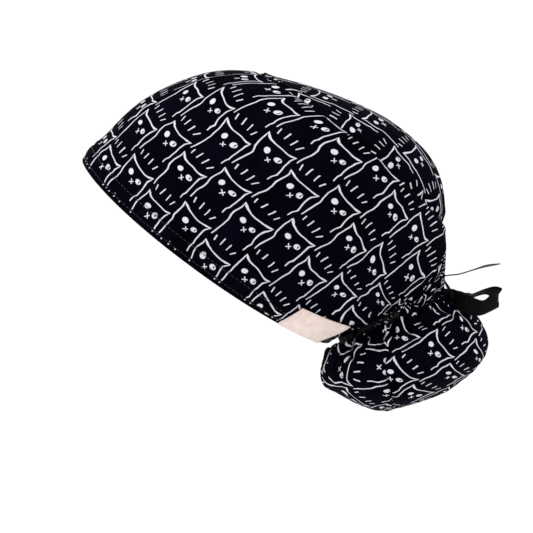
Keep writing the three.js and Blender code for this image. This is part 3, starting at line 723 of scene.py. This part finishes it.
def make_allowances(material):
    """The allowances inside the crown seam and the gathers' inner edge at the neck of the pouch."""
    angle = np.linspace(0, 360, 361)[:-1]
    seam = crown_seam(angle)
    inward = unit(np.array((0, CROWN_POLE, CROWN_TOP - CROWN_HALF_WIDTH)) - seam)
    along = unit(np.roll(seam, -1, 0) - np.roll(seam, 1, 0))
    allowance("crown_seam_allowance", seam, (inward, (2.8, 0.7)), (unit(np.cross(inward, along)), 3.6), material)
    neck, further = neck_point(angle, 0.0), neck_point(angle, 0.0, 1.0)
    down = unit(neck_point(angle, 1.0) - neck)
    allowance("neck_gathers_inside", neck, (unit(further - neck), (5.2, 3.6)), (-down, 8.5), material)


# ---------------------------------------------------------------- label and ribbon

LABEL_ANGLES = (128.2, 155.2)
LABEL_CUT = (42, 21)  # how far its weave runs along it and up it
LABEL_LEAN = -4.5  # degrees that its further top corner leans back towards the brow
LABEL_HEIGHT = (18.5, 23.0)  # at its near side and at its further side


def label_surface(s, t, lift):
    """The label: up the casing, then over the wrap panel, held clear of both and curling out at its foot."""
    angle = LABEL_ANGLES[0] + s * (LABEL_ANGLES[1] - LABEL_ANGLES[0]) + LABEL_LEAN * s * t
    height = t * (LABEL_HEIGHT[0] + s * (LABEL_HEIGHT[1] - LABEL_HEIGHT[0]))
    over = np.clip((height - CASING_HEIGHT) / 100, 0, 1)
    wrap = wrap_panel_surface(angle / LAST_HEM_ANGLE * HEM_SHARE, over)
    face = np.where((height < CASING_HEIGHT)[..., None], casing_point(angle, height), wrap)
    curl = 0.5 * smooth(np.abs(s - 0.5), 0.36, 0.5) + 0.4 * smooth(0.12 - t, 0, 0.12)
    out = lift + 1.2 + 4 * over + curl
    return face + hem_outward(angle) * out[..., None]


def make_label(material, thread):
    """The bare label, sewn on along its top and both sides."""
    s, t = np.meshgrid(np.linspace(0, 1, 60), np.linspace(0, 1, 50), indexing="ij")
    points = label_surface(s, t, 0.55)
    cut = np.stack([s * LABEL_CUT[0], t * LABEL_CUT[1]], -1)
    cloth("label_tape", worn(points), cut, [material], thickness=0.5, replaces=["woven_label"], slot="label_tape")
    across = np.linspace(0.06, 0.94, 12)
    up = np.linspace(0.08, 0.92, 9)
    for name, s_at, t_at, steps in (
        ("label_stitching_top", across, np.full(12, 0.955), (0.01, 0)),
        ("label_stitching_left", np.full(9, 0.035), up, (0, 0.01)),
        ("label_stitching_right", np.full(9, 0.965), up, (0, 0.01)),
    ):
        middle = label_surface(s_at, t_at, 0.62)
        along = unit(label_surface(s_at + steps[0], t_at + steps[1], 0.62) - middle)
        out = unit(label_surface(s_at, t_at, 2.0) - middle)
        stitches(name, middle, along, out, thread, 1.5, 0.16, "label_tape")


def tape(name, rows, material, replaces, steps, thick=0.55):
    """Ribbon carried along its rows: a flat section with rounded selvedges, turned to follow them."""
    place = np.linspace(0, len(rows) - 1, steps)
    table = np.column_stack([np.arange(len(rows)), rows])
    column = [read(table, k, place) for k in range(1, 8)]
    middle = np.stack(column[:3], -1)
    along = unit(np.gradient(middle, axis=0))
    width = np.stack(column[3:6], -1)
    width = unit(width - along * np.sum(width * along, -1, keepdims=True))
    face = np.cross(along, width)
    turn = np.linspace(0, 2 * math.pi, 32, endpoint=False)
    across, through = signed_power(np.cos(turn), 0.55), signed_power(np.sin(turn), 0.8)
    swell = 1 + 0.35 * np.abs(across) ** 8
    half = column[6][:, None, None]
    points = middle[:, None] + width[:, None] * (half * across[None, :, None])
    pinch = (1 - half / half.max()) * 2.2
    points = points + face[:, None] * ((through * swell)[None, :, None] * thick / 2)
    points = points + face[:, None] * (pinch * np.cos(3 * math.pi * across)[None, :, None])
    walked = arc_along(middle[:, None], 0)
    cut = np.stack(np.broadcast_arrays(walked, (across * RIBBON_HALF_WIDTH)[None, :]), -1)
    closed = np.concatenate([cut, cut[:, :1]], 1)
    sides = len(turn)
    faces = grid_faces(steps, sides, False, True)
    uv = grid_uv(closed)
    ends = [list(range(sides))[::-1], list(range((steps - 1) * sides, steps * sides))]
    end_uv = np.concatenate([cut[0, ::-1], cut[-1]])
    obj = mesh_object(name, MM * points, faces.tolist() + ends, np.concatenate([uv, end_uv]))
    return finish_piece(obj, [material], replaces, "ribbon")


def make_knot(material):
    """The knot: a plump turn of ribbon, an oval body whose radius swells between three slanting folds."""
    u, v = np.meshgrid(np.linspace(0, 2 * math.pi, 96, endpoint=False), np.linspace(0, math.pi, 48), indexing="ij")
    x, y, z = np.sin(v) * np.cos(u), np.sin(v) * np.sin(u), -np.cos(v)
    folds = 1 + 0.10 * pleats((z + 0.45 * x) * 1.6 + 0.2, 0.6) + 0.05 * pleats(x * 1.4 + 0.8 * z, 0.8)
    points = KNOT_MIDDLE + stack(x * 5.2, y * 3.9, z * 4.9) * folds[..., None]
    cut = np.stack([np.broadcast_to(z * 5, z.shape), u * 4], -1)
    faces = grid_faces(96, 48, True)
    wrapped = np.concatenate([cut, cut[:1]])
    obj = mesh_object("ribbon_knot_turns", MM * points, faces.tolist(), grid_uv(wrapped))
    obj.modifiers.new("poles", "WELD").merge_threshold = 1e-6
    finish_piece(obj, [material], ["ribbon_knot"], "ribbon")


def make_band(material):
    """The ribbon round the neck: a flat loop, ruffled a little where the gathers press on it."""
    angle = np.linspace(0, 360, 361)[:-1]
    turn = np.linspace(0, 2 * math.pi, 20, endpoint=False)
    across, through = signed_power(np.cos(turn), 0.55) * 2.9, np.sin(turn) * 0.35
    ruffle = 0.35 * np.sin(np.radians(angle) * 34) + 0.2 * np.sin(np.radians(angle) * 21 + 1)
    inset = 3.6 - through[None, :] + ruffle[:, None]
    points = neck_point(angle[:, None], -across[None, :], inset)
    cut = np.stack(np.broadcast_arrays(np.linspace(0, 215, 361)[:, None], np.append(across, across[0])[None]), -1)
    faces = grid_faces(*points.shape[:2], True, True)[:, ::-1]
    obj = mesh_object("ribbon_band_turn", worn(points), faces.tolist(), grid_uv(cut))
    finish_piece(obj, [material], ["ribbon_band"], "ribbon")


# ---------------------------------------------------------------- materials


def linear(hex_colour):
    """An sRGB hex colour as linear RGBA."""
    parts = [int(hex_colour[i : i + 2], 16) / 255 for i in (1, 3, 5)]
    return [c / 12.92 if c <= 0.04045 else ((c + 0.055) / 1.055) ** 2.4 for c in parts] + [1.0]


def add(tree, kind, links=None, **settings):
    """Adds a node, sets its settings, and links or sets its inputs by name or number."""
    node = tree.nodes.new("ShaderNode" + kind)
    for name, value in settings.items():
        setattr(node, name, value)
    for key, value in (links or {}).items():
        socket = node.inputs[key]
        if isinstance(value, bpy.types.Node):
            tree.links.new(value.outputs[0], socket)
        elif isinstance(value, bpy.types.NodeSocket):
            tree.links.new(value, socket)
        else:
            socket.default_value = value
    return node


def maths(tree, operation, *values):
    return add(tree, "Math", dict(enumerate(values)), operation=operation)


def vectors(tree, operation, *values):
    return add(tree, "VectorMath", dict(enumerate(values)), operation=operation)


def noise(tree, place, scale, detail):
    return add(tree, "TexNoise", {"Vector": place, "Scale": scale, "Detail": detail}, noise_dimensions="2D")


def shader(name, **settings):
    """A material with a Principled shader; the settings are values on its own sockets."""
    material = bpy.data.materials.new(name)
    material.use_nodes = True
    tree = material.node_tree
    surface = tree.nodes["Principled BSDF"]
    for key, value in settings.items():
        surface.inputs[key.replace("_", " ")].default_value = value
    return material, tree, surface


def mixed(tree, share, first, second):
    """A colour between two, each a hex colour or another node's output."""
    first, second = (linear(colour) if isinstance(colour, str) else colour for colour in (first, second))
    return add(tree, "Mix", {0: share, 6: first, 7: second}, data_type="RGBA").outputs[2]


def dress(tree, surface, colour, height=None, strength=0.3, distance=0.0001):
    """Joins a colour to the shader and, where there is one, a relief."""
    tree.links.new(colour, surface.inputs["Base Color"])
    if height is not None:
        bump = add(tree, "Bump", {"Height": height, "Strength": strength, "Distance": distance})
        tree.links.new(bump.outputs[0], surface.inputs["Normal"])


# The print: a line-drawn cat with a long body, seen from the front, repeated up a column. Columns stand side
# by side and every other one is raised. All in millimetres.
COLUMN, REPEAT, STEP_UP = 23.7, 33.75, 9.9
# polylines of x, y, half width
CAT_LINES = [
    # left flank, from the ear's tip down
    [(1.1, 32.9, 0.23), (1.6, 29.6, 0.39), (1.2, 25.4, 0.4), (1.2, 21.2, 0.42), (2.1, 17.6, 0.39)],
    [(2.1, 17.6, 0.39), (1.9, 13.4, 0.4), (1.3, 9.0, 0.39), (1.1, 4.4, 0.31)],
    # brow, from one ear's tip to the other's
    [(1.1, 32.9, 0.23), (3.1, 31.4, 0.7), (5.0, 30.4, 0.54), (8.4, 29.6, 0.39), (13.0, 29.3, 0.39)],
    [(13.0, 29.3, 0.39), (17.6, 29.0, 0.4), (20.2, 29.2, 0.58), (22.6, 30.2, 0.23)],
    # right flank
    [(22.6, 30.2, 0.23), (21.0, 26.2, 0.46), (20.9, 22.0, 0.39), (21.2, 18.0, 0.39), (21.7, 14.6, 0.42)],
    [(21.7, 14.6, 0.42), (20.8, 12.2, 0.39), (20.9, 9.4, 0.35)],
    # nose and mouth
    [(10.9, 20.4, 0.32), (13.1, 18.2, 0.31)],
    [(11.0, 18.0, 0.31), (13.0, 20.1, 0.32)],
    # tufts on the chest
    [(4.6, 2.4, 0.35), (4.0, 5.4, 0.39)],
    [(9.0, 2.2, 0.39), (9.2, 6.4, 0.39)],
    [(14.4, 1.4, 0.35), (14.6, 5.6, 0.42)],
    [(18.4, 1.1, 0.35), (19.8, 4.2, 0.39)],
]
# eyes: x, y, half width, half height
CAT_EYES = [(7.6, 23.6, 1.95, 1.85), (16.0, 22.3, 2.1, 1.7)]
# the slit left bare in the right eye: x, y, half width, half height
CAT_PUPIL = (16.7, 22.5, 0.4, 1.1)


def oval_edge(tree, here, oval, sign):
    """Distance out of an oval's edge, about right near the edge, times a sign."""
    x, y, half_x, half_y = oval
    start = vectors(tree, "SUBTRACT", here, (x, y, 0))
    scaled = vectors(tree, "MULTIPLY", start, (1 / half_x, 1 / half_y, 0))
    length = vectors(tree, "LENGTH", scaled).outputs["Value"]
    return maths(tree, "MULTIPLY_ADD", length, sign * half_x, -sign * half_x)


def print_mask(tree):
    """How much white ink lies at a place: 1 inside the nearest of the cat's lines and eyes. A line's distance
    is that to its nearest point, found by sliding along it between its ends, less a half width that tapers."""
    place = add(tree, "UVMap", uv_map=SURFACE)
    wobble = noise(tree, place, 0.09, 0.5)
    shaken = vectors(tree, "SUBTRACT", wobble.outputs["Color"], (0.5, 0.5, 0.5))
    hand = vectors(tree, "MULTIPLY_ADD", shaken, (2.4, 2.4, 0), place)
    axes = add(tree, "SeparateXYZ", {0: hand})
    column = maths(tree, "DIVIDE", axes.outputs[0], COLUMN)
    number = maths(tree, "FLOOR", column)
    odd = maths(tree, "FLOORED_MODULO", number, 2.0)
    raised = maths(tree, "MULTIPLY_ADD", odd, -STEP_UP, axes.outputs[1])
    x = maths(tree, "FLOORED_MODULO", axes.outputs[0], COLUMN)
    y = maths(tree, "FLOORED_MODULO", raised, REPEAT)
    here = add(tree, "CombineXYZ", {0: x, 1: y})
    nearest = None
    pieces = [(a, b) for line in CAT_LINES for a, b in zip(line, line[1:])]
    for (x0, y0, w0), (x1, y1, w1) in pieces:
        run = (x1 - x0, y1 - y0)
        square = run[0] ** 2 + run[1] ** 2
        start = vectors(tree, "SUBTRACT", here, (x0, y0, 0))
        slide = vectors(tree, "DOT_PRODUCT", start, (run[0] / square, run[1] / square, 0))
        share = add(tree, "Clamp", {0: slide.outputs["Value"]})
        off = vectors(tree, "MULTIPLY_ADD", share, (-run[0], -run[1], 0), start)
        length = vectors(tree, "LENGTH", off)
        away = maths(tree, "SUBTRACT", length.outputs["Value"], w0)
        if w1 != w0:
            away = maths(tree, "MULTIPLY_ADD", share, w0 - w1, away)
        nearest = away if nearest is None else maths(tree, "MINIMUM", nearest, away)
    for eye in CAT_EYES:
        nearest = maths(tree, "MINIMUM", nearest, oval_edge(tree, here, eye, 1))
    slit = oval_edge(tree, here, CAT_PUPIL, -1)
    nearest = maths(tree, "MAXIMUM", nearest, slit)
    edge = add(tree, "MapRange", {0: nearest, 1: 0.14, 2: -0.14}, interpolation_type="SMOOTHSTEP")
    return edge.outputs[0], place


THREAD_PITCH = 0.8  # the real weave is about 0.3 mm from thread to thread; drawn coarser so that it shows


def weave(tree, place, pitch):
    """Plain weave: the product of a wave along the warp and one along the weft."""
    scaled = add(tree, "VectorMath", {0: place, "Scale": 2 * math.pi / pitch}, operation="SCALE")
    axes = add(tree, "SeparateXYZ", {0: scaled})
    warp = maths(tree, "SINE", axes.outputs[0])
    weft = maths(tree, "SINE", axes.outputs[1])
    return maths(tree, "MULTIPLY", warp, weft)


def printed_cotton(name, hem=False):
    """Black poplin, plain woven and reactive dyed, with white pigment ink screened on it. The cloth drinks the
    light and shows only a thin blue-grey bloom where it turns away; the ink is matt. Down in the gathers'
    valleys print and cloth are painted near black: painted shade, beyond what the folds shade by themselves."""
    material, tree, surface = shader(
        name, Roughness=0.85, Specular_IOR_Level=0.008, Sheen_Weight=0.008, Sheen_Roughness=0.3
    )
    surface.inputs["Sheen Tint"].default_value = linear("#9a9cc8")
    ink, place = print_mask(tree)
    if hem:
        height = add(tree, "Attribute", attribute_name="height").outputs["Fac"]
        depth = add(tree, "Attribute", attribute_name="depth").outputs["Fac"]
        above = add(tree, "MapRange", {0: height, 1: 3.9, 2: 4.3})
        dots_low = add(tree, "MapRange", {0: height, 1: 2.0, 2: 2.3})
        dots_high = add(tree, "MapRange", {0: height, 1: 3.0, 2: 2.7})
        dots = maths(tree, "MULTIPLY", dots_low, dots_high)
        shown = maths(tree, "MAXIMUM", above, dots)
        outside = add(tree, "MapRange", {0: depth, 1: 0.9, 2: 0.7})
        shown = maths(tree, "MULTIPLY", shown, outside)
        ink = maths(tree, "MULTIPLY", ink, shown).outputs[0]
    cloudy = noise(tree, place, 0.035, 3.0)
    dye = mixed(tree, cloudy, "#010102", "#050410")
    worn_ink = noise(tree, place, 0.5, 2.0)
    colour = mixed(tree, ink, dye, mixed(tree, worn_ink, "#b0afb8", "#cfced5"))
    # painted shade: in the valleys of the gathers the colour is mixed towards near black
    painted_fold_shade = add(tree, "Attribute", attribute_name="painted_fold_shade").outputs["Fac"]
    painted_shade_share = add(tree, "MapRange", {0: painted_fold_shade, 1: 0.1, 2: 0.75})
    dress(tree, surface, mixed(tree, painted_shade_share, colour, "#010103"), weave(tree, place, THREAD_PITCH), 0.25, 0.00012)
    return material


def plain_cotton():
    """The wrong side of the same poplin: unprinted, duller, its weave open to view."""
    material, tree, surface = shader("cotton_wrong_side", Roughness=0.9, Specular_IOR_Level=0.08, Sheen_Weight=0.03)
    place = add(tree, "UVMap", uv_map=SURFACE)
    cloudy = noise(tree, place, 0.06, 3.0)
    dress(tree, surface, mixed(tree, cloudy, "#09090c", "#111116"), weave(tree, place, THREAD_PITCH))
    return material


def ribbon_tape():
    """Black polyester twill tape: fine slanting ribs with a low, soft shine."""
    material, tree, surface = shader("black_twill_tape", Roughness=0.6, Specular_IOR_Level=0.08)
    place = add(tree, "UVMap", uv_map=SURFACE)
    axes = add(tree, "SeparateXYZ", {0: place})
    slant = maths(tree, "ADD", axes.outputs[0], axes.outputs[1])
    ribs = maths(tree, "MULTIPLY", slant, 2 * math.pi / 0.9)
    wave = maths(tree, "SINE", ribs)
    # painted shade: the grooves between the ribs are coloured a touch darker than their crests
    shade = add(tree, "MapRange", {0: wave, 1: -1.0, 2: 1.0})
    dress(tree, surface, mixed(tree, shade, "#010102", "#050507"), wave, distance=0.00012)
    return material


def label_cloth():
    """Undyed satin label tape, woven with fine cross ribs; pale pinkish, matt, its yarn a little uneven."""
    material, tree, surface = shader("undyed_label_satin", Roughness=0.6, Specular_IOR_Level=0.3, Sheen_Weight=0.05)
    place = add(tree, "UVMap", uv_map=SURFACE)
    axes = add(tree, "SeparateXYZ", {0: place})
    ribs = maths(tree, "MULTIPLY", axes.outputs[1], 2 * math.pi / 0.7)
    wave = maths(tree, "SINE", ribs)
    cloudy = noise(tree, place, 0.2, 3.0)
    dress(tree, surface, mixed(tree, cloudy, "#bfaaa2", "#d9cbc5"), wave, strength=0.35)
    return material


def sewing_thread(name, dark, light):
    """Spun polyester thread, two plies: a slight gleam broken by its twist."""
    material, tree, surface = shader(name, Roughness=0.5, Specular_IOR_Level=0.35)
    place = add(tree, "TexCoord").outputs["Object"]
    twist = add(tree, "TexNoise", {"Vector": place, "Scale": 2200.0, "Detail": 1.0})
    dress(tree, surface, mixed(tree, twist, dark, light))
    return material


# ---------------------------------------------------------------- the set


def make_stage():
    """A plain pale floor well below the cap, lit by a white sky and two large soft lamps."""
    size, level = 6.0, -0.42
    mesh = bpy.data.meshes.new("floor")
    corners = [(-size, -size, level), (size, -size, level), (size, size, level), (-size, size, level)]
    mesh.from_pydata(corners, [], [(0, 1, 2, 3)])
    floor = bpy.data.objects.new("floor", mesh)
    bpy.context.scene.collection.objects.link(floor)
    material, tree, surface = shader("pale_floor_paint", Roughness=0.8, Specular_IOR_Level=0.1)
    place = add(tree, "TexCoord").outputs["Object"]
    mottle = add(tree, "TexNoise", {"Vector": place, "Scale": 3.0})
    dress(tree, surface, mixed(tree, mottle, "#fafafa", "#ffffff"))
    mesh.materials.append(material)
    world = bpy.data.worlds.new("white_sky")
    world.use_nodes = True
    sky = world.node_tree.nodes["Background"]
    sky.inputs["Color"].default_value = (1, 1, 1, 1)
    sky.inputs["Strength"].default_value = 1.04
    bpy.context.scene.world = world
    lamps = (("key", (0.5, -1.3, 0.8), 0.9, 16.0), ("crown_light", (0.5, 0.9, 1.3), 0.8, 12.0))
    for name, place, side, power in lamps:
        lamp = bpy.data.lights.new(name, "AREA")
        lamp.energy, lamp.size = power, side
        obj = bpy.data.objects.new(name, lamp)
        obj.location = place
        aim = np.array((0.0, 0.02, -0.09)) - place
        obj.rotation_euler = (math.atan2(math.hypot(aim[0], aim[1]), -aim[2]), 0, math.atan2(-aim[0], aim[1]))
        bpy.context.scene.collection.objects.link(obj)


def make_camera():
    """Level with the cap and square to its left side, far enough away to see it almost without perspective."""
    away, seen = 3.0, 0.320
    target = np.array((0.0, 0.0099, -0.1152))
    camera = bpy.data.cameras.new("camera")
    camera.sensor_width = 36
    camera.lens = 36 * away / seen
    obj = bpy.data.objects.new("camera", camera)
    obj.location = target + (away, 0, 0)
    obj.rotation_euler = (math.pi / 2, 0, math.pi / 2)
    bpy.context.scene.collection.objects.link(obj)
    bpy.context.scene.camera = obj
    bpy.context.scene.view_settings.view_transform = "Standard"


make_camera()
make_stage()

cotton = printed_cotton("printed_poplin")
hem_cotton = printed_cotton("printed_poplin_hem", hem=True)
wrong_side = plain_cotton()
twill = ribbon_tape()
satin = label_cloth()
black_thread = sewing_thread("black_sewing_thread", "#08080a", "#1a1a20")
pale_thread = sewing_thread("pale_sewing_thread", "#b8a8a0", "#e2d8d2")

wrap = make_wrap_panel([cotton, wrong_side])
make_crown([cotton, wrong_side])
make_hem([hem_cotton], wrap)
hem_stitches(black_thread)
make_pouch([cotton, wrong_side])
make_allowances(wrong_side)
make_label(satin, pale_thread)
make_band(twill)
make_knot(twill)
for part, rows, steps in (
    ("ribbon_loop_left", LOOP_LEFT, 150),
    ("ribbon_loop_right", LOOP_RIGHT, 150),
    ("ribbon_tail_left", TAIL_LEFT, 90),
    ("ribbon_tail_right", TAIL_RIGHT, 90),
):
    tape(part + "_tape", rows, twill, [part], steps)

# each sheet: its flat width and length in metres, its cut's flat area, how it is held, on what, and what is on it
HEM_AND_SEAMS = "hem_cloth", "stitching_lower", "stitching_upper", "crown_seam_allowance", "neck_gathers_inside"
LABEL_SEAMS = "label_stitching_top", "label_stitching_left", "label_stitching_right"
WRAP, KNOT = ("wrap_panel_cloth",), ("ribbon_knot_turns",)
for piece, flat, area, held, rests_on, on_it in (
    ("wrap_panel_cloth", (0.58, 0.135), 0.0605, "gathered", (), HEM_AND_SEAMS),
    ("crown_cloth", (0.126, 0.157), 0.0155, "stretched", WRAP, ()),
    ("pouch_front_cloth", (0.132, 0.085), 0.0086, "gathered", WRAP, ()),
    ("pouch_back_left_cloth", (0.092, 0.1), 0.0069, "gathered", WRAP, ()),
    ("pouch_back_right_cloth", (0.092, 0.1), 0.0069, "gathered", WRAP, ()),
    ("label_tape", (0.042, 0.021), None, "laid", ("hem_cloth",), LABEL_SEAMS),
    ("ribbon_loop_left_tape", (0.011, 0.075), None, "hung", WRAP, ("ribbon_knot_turns", "ribbon_band_turn")),
    ("ribbon_loop_right_tape", (0.011, 0.073), None, "hung", KNOT, ()),
    ("ribbon_tail_left_tape", (0.011, 0.047), None, "hung", KNOT, ()),
    ("ribbon_tail_right_tape", (0.011, 0.034), None, "hung", KNOT, ()),
):
    piece, on_it = bpy.data.objects[piece], [bpy.data.objects[other] for other in on_it]
